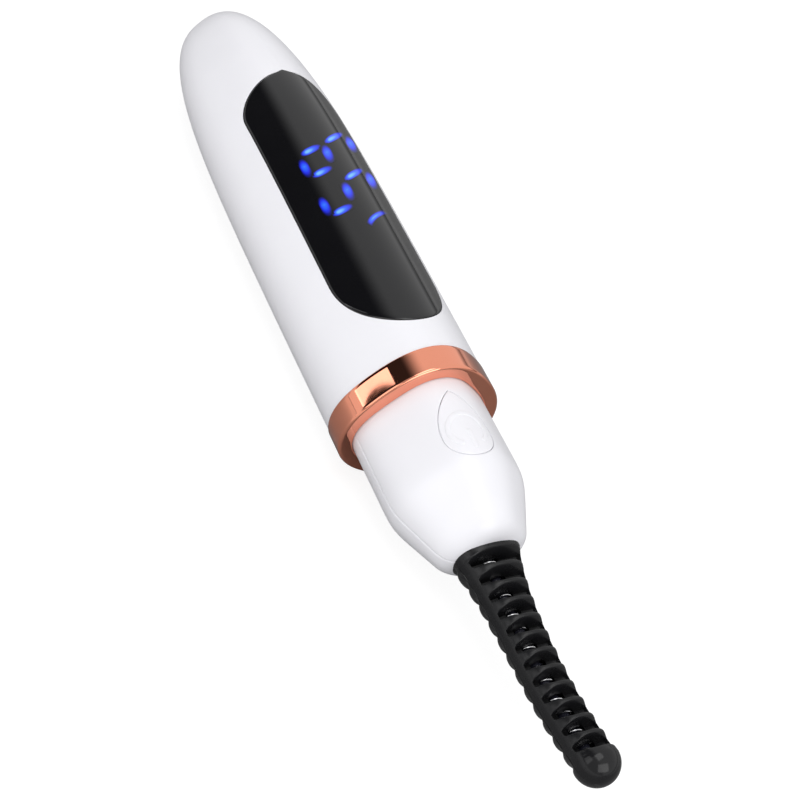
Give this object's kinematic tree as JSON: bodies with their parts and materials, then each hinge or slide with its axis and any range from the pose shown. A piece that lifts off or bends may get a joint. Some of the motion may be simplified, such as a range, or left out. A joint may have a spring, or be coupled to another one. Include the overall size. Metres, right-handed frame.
{
  "type": "heated eyelash curler",
  "caption": "Pen-shaped heated eyelash curler with a domed handle, a curved display window, a plated trim ring, a teardrop power button and a bowed slotted comb.",
  "frame": {"origin": "middle of the bounding box on the plane that the device lies on, with the display upwards", "axes": "+X along the handle towards the comb tip, +Z out of the display, +Y to the left when looking towards the tip"},
  "size_m": [0.1421, 0.0238, 0.022],
  "materials": {
    "white_shell": "satin gloss moulded ABS",
    "white_button": "satin gloss moulded ABS",
    "smoked_lens": "high gloss smoked acrylic",
    "adhesive_black": "thin adhesive tape",
    "rose_gold": "mirror polished rose gold plating",
    "black_plastic": "moulded",
    "spring_steel": "stamped",
    "circuit_board": "green solder mask",
    "chip_black": "moulded epoxy",
    "ceramic_brown": "fired",
    "display_black": "moulded",
    "lit_blue": "lit segments",
    "cell_steel": "nickel plated steel can",
    "sleeve_blue": "heat shrunk film",
    "nickel": "welded strip",
    "foam_grey": "foam tape",
    "lead_red": "silicone insulation",
    "lead_black": "silicone insulation",
    "lead_white": "glass fibre sleeve",
    "socket_steel": "drawn steel",
    "contact_gold": "gold plated",
    "chassis_grey": "moulded",
    "screw_steel": "zinc plated",
    "comb_black": "satin heat resistant nylon",
    "collar_grey": "heat resistant moulding",
    "heater_ceramic": "fired rod",
    "heating_wire": "bright resistance wire",
    "bead_glass": "glass bead",
    "fine_wire": "enamelled wire"
  },
  "bodies": {
    "handle": {"barrel": "white_shell", "display_lens": "smoked_lens", "lens_adhesive": "adhesive_black", "trim_ring": "rose_gold", "neck_front_shell": "white_shell", "neck_back_shell": "white_shell", "switch_base": "black_plastic", "switch_dome": "spring_steel", "switch_cover": "spring_steel", "main_board": "circuit_board", "charge_board": "circuit_board", "controller_chip": "chip_black", "charger_chip": "chip_black", "heater_transistor": "chip_black", "chip_capacitors": "ceramic_brown", "chip_resistors": "chip_black", "display_housing": "display_black", "display_segments": "lit_blue", "display_leds": "lit_blue", "battery_cell": "cell_steel", "battery_sleeve": "sleeve_blue", "battery_cap": "cell_steel", "battery_tabs": "nickel", "battery_foam": "foam_grey", "battery_lead_plus": "lead_red", "battery_lead_minus": "lead_black", "charge_leads": "lead_red", "usb_shell": "socket_steel", "usb_insulator": "black_plastic", "usb_contacts": "contact_gold", "chassis": "chassis_grey", "board_screws": "screw_steel", "comb_front": "comb_black", "comb_back": "comb_black", "comb_collar": "collar_grey", "heater_core": "heater_ceramic", "heating_coil": "heating_wire", "heater_leads": "lead_white", "thermistor": "bead_glass", "thermistor_leads": "fine_wire"},
    "button": {"power_button": "white_button", "switch_plunger": "black_plastic"}
  },
  "joints": [
    {"name": "button_press", "type": "slide", "parent": "handle", "child": "button", "axis": [0, 0, -1], "range_m": [0, 0.0004], "stiffness_N_per_m": 500, "springref_m": -0.0004, "deforming": ["switch_dome"]}
  ]
}
